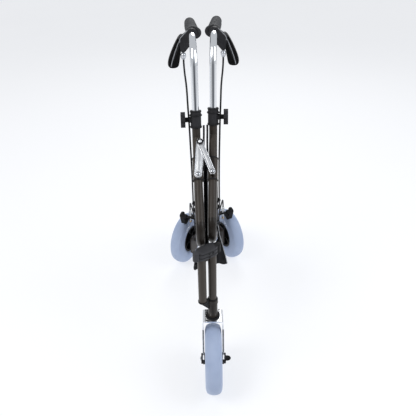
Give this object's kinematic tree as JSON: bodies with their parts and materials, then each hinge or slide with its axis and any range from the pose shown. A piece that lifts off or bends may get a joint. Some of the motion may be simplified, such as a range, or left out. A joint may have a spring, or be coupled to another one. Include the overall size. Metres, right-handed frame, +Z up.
{
  "type": "rollator walker",
  "caption": "Folding delta walker with a swivel front wheel, toed rear wheels, telescoping grips with brake levers, a folding brace and a hanging fabric bag.",
  "frame": {"origin": "centre of the folded walker's bounding box, on the floor", "axes": "+Z up, +Y from the front wheel to the rear wheels, +X across to the walker's side that carries the caster"},
  "size_m": [0.2812, 0.8078, 0.939],
  "materials": {
    "frame_paint": "hammered dark bronze enamel",
    "zinc": "bright zinc plate",
    "chrome_tube": "bright chrome",
    "tyre": "pale blue-grey solid tyre",
    "hub_plastic": "moulded black",
    "black_plastic": "fine-grained black",
    "grey_plastic": "dark grey moulding",
    "grip_rubber": "textured dark grey",
    "cable_sheath": "smooth black sheath",
    "steel": "ground bearing steel",
    "bag_nylon": "black woven nylon"
  },
  "bodies": {
    "right_side": {"right_upper_tube": "frame_paint", "right_lower_tube": "frame_paint", "right_rear_tube": "frame_paint", "right_post": "frame_paint", "right_axle_plate": "frame_paint", "right_axle": "zinc", "right_height_collar": "black_plastic", "right_cable_clips": "black_plastic", "right_brake_bracket": "black_plastic", "right_brake_adjuster": "zinc", "right_brake_cable": "cable_sheath", "hinge_band": "grey_plastic", "caster_housing": "frame_paint", "caster_bearings": "steel", "lower_bracket": "black_plastic", "bag": "bag_nylon"},
    "left_side": {"left_upper_tube": "frame_paint", "left_lower_tube": "frame_paint", "left_rear_tube": "frame_paint", "left_post": "frame_paint", "left_axle_plate": "frame_paint", "left_axle": "zinc", "left_height_collar": "black_plastic", "left_cable_clips": "black_plastic", "left_brake_bracket": "black_plastic", "left_brake_adjuster": "zinc", "left_brake_cable": "cable_sheath"},
    "caster": {"caster_fork": "zinc", "caster_stem": "zinc", "caster_dust_ring": "black_plastic", "front_axle": "zinc", "front_axle_washers": "black_plastic", "front_cap_nut": "black_plastic"},
    "front_wheel": {"front_tyre": "tyre", "front_hub": "hub_plastic", "front_bearings": "steel"},
    "left_wheel": {"left_tyre": "tyre", "left_hub": "hub_plastic", "left_bearings": "steel"},
    "right_wheel": {"right_tyre": "tyre", "right_hub": "hub_plastic", "right_bearings": "steel"},
    "left_handle": {"left_handle_tube": "chrome_tube", "left_grip": "grip_rubber", "left_lever_clamp": "black_plastic", "left_lever_adjuster": "zinc"},
    "left_lever": {"left_brake_lever": "black_plastic"},
    "left_height_knob": {"left_knob": "black_plastic"},
    "left_brake": {"left_brake_arm": "black_plastic"},
    "left_sleeve": {"left_brace_sleeve": "grey_plastic"},
    "left_link": {"left_brace_link": "zinc"},
    "right_handle": {"right_handle_tube": "chrome_tube", "right_grip": "grip_rubber", "right_lever_clamp": "black_plastic", "right_lever_adjuster": "zinc"},
    "right_lever": {"right_brake_lever": "black_plastic"},
    "right_height_knob": {"right_knob": "black_plastic"},
    "right_brake": {"right_brake_arm": "black_plastic"},
    "right_sleeve": {"right_brace_sleeve": "grey_plastic"},
    "right_link": {"right_brace_link": "zinc"}
  },
  "joints": [
    {"name": "fold", "type": "hinge", "parent": "right_side", "child": "left_side", "pos_m": [-0.0135, -0.2768, 0.39], "axis": [0, 0, 1], "range_deg": [0, 54]},
    {"name": "caster_swivel", "type": "hinge", "parent": "right_side", "child": "caster", "pos_m": [0.0135, -0.2588, 0.262], "axis": [0, 0, 1], "continuous": true},
    {"name": "front_wheel_spin", "type": "hinge", "parent": "caster", "child": "front_wheel", "pos_m": [0.0135, -0.3038, 0.1], "axis": [1, 0, 0], "continuous": true},
    {"name": "left_wheel_spin", "type": "hinge", "parent": "left_side", "child": "left_wheel", "pos_m": [-0.0814, 0.2862, 0.1], "axis": [-0.891, 0.454, 0], "continuous": true},
    {"name": "left_handle_height", "type": "slide", "parent": "left_side", "child": "left_handle", "axis": [-0.0083, 0.2077, 0.9781], "range_m": [-0.04, 0.01], "deforming": ["left_brake_cable"]},
    {"name": "left_lever_squeeze", "type": "hinge", "parent": "left_handle", "child": "left_lever", "pos_m": [-0.05799, 0.08472, 0.91], "axis": [0.075, -0.9972, 0], "range_deg": [0, 10], "stiffness_Nm_per_rad": 0.6, "springref_deg": -2.86},
    {"name": "left_brake_swing", "type": "hinge", "parent": "left_side", "child": "left_brake", "pos_m": [-0.08895, 0.23393, 0.24], "axis": [-0.891, 0.454, 0], "range_deg": [0, 5]},
    {"name": "left_knob_turn", "type": "hinge", "parent": "left_side", "child": "left_height_knob", "pos_m": [-0.05303, -0.03999, 0.728], "axis": [-0.9992, -0.0401, 0], "range_deg": [0, 540]},
    {"name": "left_sleeve_turn", "type": "hinge", "parent": "left_side", "child": "left_sleeve", "pos_m": [-0.01904, -0.13878, 0.61161], "axis": [-0.0319, 0.7951, 0.6056], "range_deg": [-21.53, 0]},
    {"name": "left_link_swing", "type": "hinge", "parent": "left_sleeve", "child": "left_link", "pos_m": [-0.01867, -0.1481, 0.62387], "axis": [0.0243, -0.6051, 0.7958], "range_deg": [-83.51, 0]},
    {"name": "right_wheel_spin", "type": "hinge", "parent": "right_side", "child": "right_wheel", "pos_m": [0.0814, 0.3112, 0.1], "axis": [0.891, 0.454, 0], "continuous": true},
    {"name": "right_handle_height", "type": "slide", "parent": "right_side", "child": "right_handle", "axis": [0.0083, 0.2077, 0.9781], "range_m": [-0.04, 0.01], "deforming": ["right_brake_cable"]},
    {"name": "right_lever_squeeze", "type": "hinge", "parent": "right_handle", "child": "right_lever", "pos_m": [0.05799, 0.10272, 0.91], "axis": [0.075, 0.9972, 0], "range_deg": [0, 10], "stiffness_Nm_per_rad": 0.6, "springref_deg": -2.86},
    {"name": "right_brake_swing", "type": "hinge", "parent": "right_side", "child": "right_brake", "pos_m": [0.08895, 0.25893, 0.24], "axis": [-0.891, -0.454, 0], "range_deg": [0, 5]},
    {"name": "right_knob_turn", "type": "hinge", "parent": "right_side", "child": "right_height_knob", "pos_m": [0.05303, -0.02199, 0.728], "axis": [0.9992, -0.0401, 0], "range_deg": [0, 540]},
    {"name": "right_sleeve_turn", "type": "hinge", "parent": "right_side", "child": "right_sleeve", "pos_m": [0.01876, -0.12793, 0.60616], "axis": [0.0319, 0.7951, 0.6056], "range_deg": [0, 16.19]},
    {"name": "right_link_swing", "type": "hinge", "parent": "right_sleeve", "child": "right_link", "pos_m": [0.01801, -0.14645, 0.63051], "axis": [-0.0243, -0.6051, 0.7958], "range_deg": [0, 63.74]}
  ],
  "couplings": [
    {"joint": "left_brake_swing", "follows": "left_lever_squeeze", "ratio": 0.5},
    {"joint": "left_sleeve_turn", "follows": "fold", "ratio": -0.39691},
    {"joint": "left_link_swing", "follows": "fold", "ratio": -1.5427},
    {"joint": "right_brake_swing", "follows": "right_lever_squeeze", "ratio": 0.5},
    {"joint": "right_sleeve_turn", "follows": "fold", "ratio": 0.29794},
    {"joint": "right_link_swing", "follows": "fold", "ratio": 1.1766}
  ]
}
